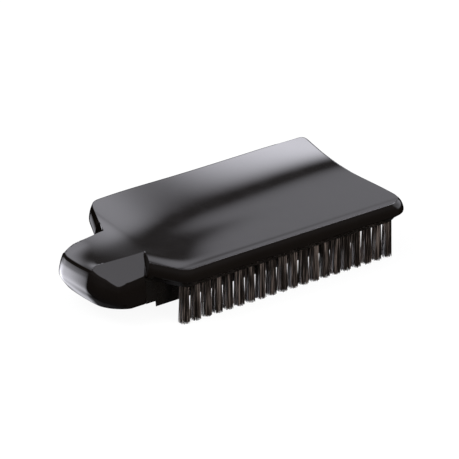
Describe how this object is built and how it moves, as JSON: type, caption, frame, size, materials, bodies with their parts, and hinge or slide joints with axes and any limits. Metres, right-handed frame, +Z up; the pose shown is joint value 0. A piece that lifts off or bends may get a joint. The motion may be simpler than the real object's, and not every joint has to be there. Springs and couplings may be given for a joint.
{
  "type": "clothes brush",
  "caption": "Palm-held clothes brush: glossy shell with a swept top and a faceted grip tongue, rows of dark bristle tufts along both long sides and a velvet lint pad between them.",
  "frame": {"origin": "centre of the overall box, at the level of the bristle tips", "axes": "+X along the brush away from the grip tongue, +Y towards the raised rear side, +Z up from the bristle tips"},
  "size_m": [0.1572, 0.0808, 0.0323],
  "materials": {
    "shell": "gloss black",
    "base": "satin to gloss black",
    "bristle": "dark brown bristle",
    "velvet": "charcoal velvet pile",
    "foam": "grey foam sheet",
    "screw": "zinc plated"
  },
  "bodies": {
    "root": {"top_shell": "shell", "base": "base", "pad_foam": "foam", "velvet_pad": "velvet", "screw_1": "screw", "screw_2": "screw", "screw_3": "screw", "screw_4": "screw", "tuft_front_01": "bristle", "tuft_front_02": "bristle", "tuft_front_03": "bristle", "tuft_front_04": "bristle", "tuft_front_05": "bristle", "tuft_front_06": "bristle", "tuft_front_07": "bristle", "tuft_front_08": "bristle", "tuft_front_09": "bristle", "tuft_front_10": "bristle", "tuft_front_11": "bristle", "tuft_front_12": "bristle", "tuft_front_13": "bristle", "tuft_front_14": "bristle", "tuft_front_15": "bristle", "tuft_front_16": "bristle", "tuft_front_17": "bristle", "tuft_front_18": "bristle", "tuft_front_19": "bristle", "tuft_front_20": "bristle", "tuft_rear_01": "bristle", "tuft_rear_02": "bristle", "tuft_rear_03": "bristle", "tuft_rear_04": "bristle", "tuft_rear_05": "bristle", "tuft_rear_06": "bristle", "tuft_rear_07": "bristle", "tuft_rear_08": "bristle", "tuft_rear_09": "bristle", "tuft_rear_10": "bristle", "tuft_rear_11": "bristle", "tuft_rear_12": "bristle", "tuft_rear_13": "bristle", "tuft_rear_14": "bristle", "tuft_rear_15": "bristle", "tuft_rear_16": "bristle", "tuft_rear_17": "bristle", "tuft_rear_18": "bristle", "tuft_rear_19": "bristle"}
  },
  "joints": []
}
